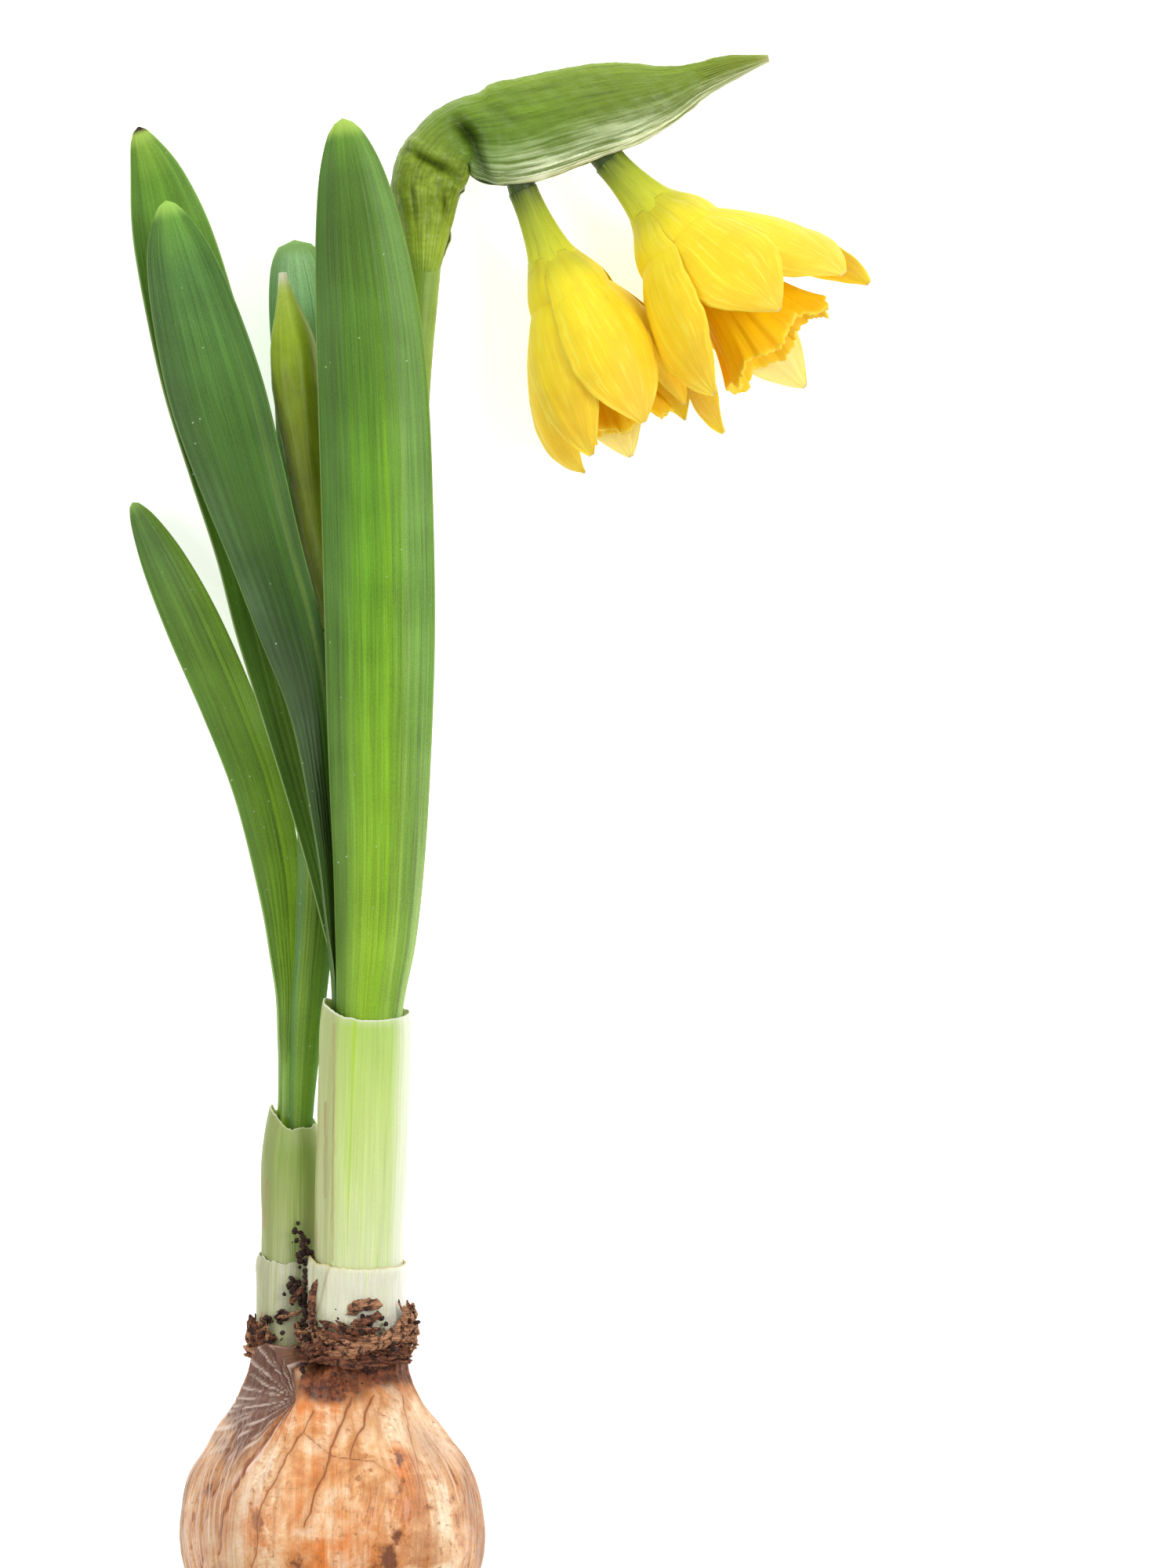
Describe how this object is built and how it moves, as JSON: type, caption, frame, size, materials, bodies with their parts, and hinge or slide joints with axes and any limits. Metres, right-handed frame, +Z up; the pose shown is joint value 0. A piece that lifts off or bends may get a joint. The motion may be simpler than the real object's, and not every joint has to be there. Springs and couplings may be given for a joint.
{
  "type": "daffodil plant with bulb and flowers",
  "caption": "Flowering dwarf daffodil lifted with its bulb, lying on its side: leaves, sheathed shoots, a bud and nodding yellow trumpet flowers.",
  "frame": {"origin": "bottom centre of the plant's box, on the surface it lies on", "axes": "+Y along the plant from the bulb to the leaf tips, +X towards the side its flowers nod to, +Z up from the surface"},
  "size_m": [0.0956, 0.2094, 0.0385],
  "materials": {
    "leaf_green": "living leaf, fine parallel veins, waxy half-gloss",
    "sheath_pale_green": "pale green sheath with lime stripes, satin",
    "tube_yellow_green": "yellow-green living skin, fine veins, satin",
    "petal_yellow": "soft bright yellow petal, faint veins, matte",
    "corona_orange_yellow": "deep orange-yellow petal, frilled and folded, matte",
    "bulb_skin": "glossy papery tan skin with brown veins and blotches",
    "dry_tunic_brown": "dry dark brown papery shreds and roots, matte",
    "sheath_ivory": "creamy white thin sheath with a brown edge, satin"
  },
  "bodies": {
    "root": {"bud": "tube_yellow_green", "bulb": "bulb_skin", "flower_left_corona": "corona_orange_yellow", "flower_left_stalk": "leaf_green", "flower_left_stamen_1": "petal_yellow", "flower_left_stamen_2": "petal_yellow", "flower_left_stamen_3": "petal_yellow", "flower_left_stamen_4": "petal_yellow", "flower_left_stamen_5": "petal_yellow", "flower_left_stamen_6": "petal_yellow", "flower_left_style": "tube_yellow_green", "flower_left_tepal_back": "petal_yellow", "flower_left_tepal_back_left": "petal_yellow", "flower_left_tepal_back_right": "petal_yellow", "flower_left_tepal_front": "petal_yellow", "flower_left_tepal_front_left": "petal_yellow", "flower_left_tepal_front_right": "petal_yellow", "flower_left_tube": "tube_yellow_green", "flower_right_corona": "corona_orange_yellow", "flower_right_stalk": "leaf_green", "flower_right_stamen_1": "petal_yellow", "flower_right_stamen_2": "petal_yellow", "flower_right_stamen_3": "petal_yellow", "flower_right_stamen_4": "petal_yellow", "flower_right_stamen_5": "petal_yellow", "flower_right_stamen_6": "petal_yellow", "flower_right_style": "tube_yellow_green", "flower_right_tepal_back": "petal_yellow", "flower_right_tepal_back_left": "petal_yellow", "flower_right_tepal_back_right": "petal_yellow", "flower_right_tepal_front": "petal_yellow", "flower_right_tepal_front_left": "petal_yellow", "flower_right_tepal_front_right": "petal_yellow", "flower_right_tube": "tube_yellow_green", "leaf_back": "leaf_green", "leaf_front": "leaf_green", "leaf_left_back": "leaf_green", "leaf_left_front": "leaf_green", "leaf_outer_left": "leaf_green", "root_crown": "dry_tunic_brown", "scape_flowering": "leaf_green", "scape_of_bud": "leaf_green", "sheath_left_lower": "sheath_ivory", "sheath_left_upper": "sheath_pale_green", "sheath_right_lower": "sheath_ivory", "sheath_right_upper": "sheath_pale_green", "spathe": "tube_yellow_green", "tunic_collar_left": "dry_tunic_brown", "tunic_collar_right": "dry_tunic_brown"}
  },
  "joints": []
}
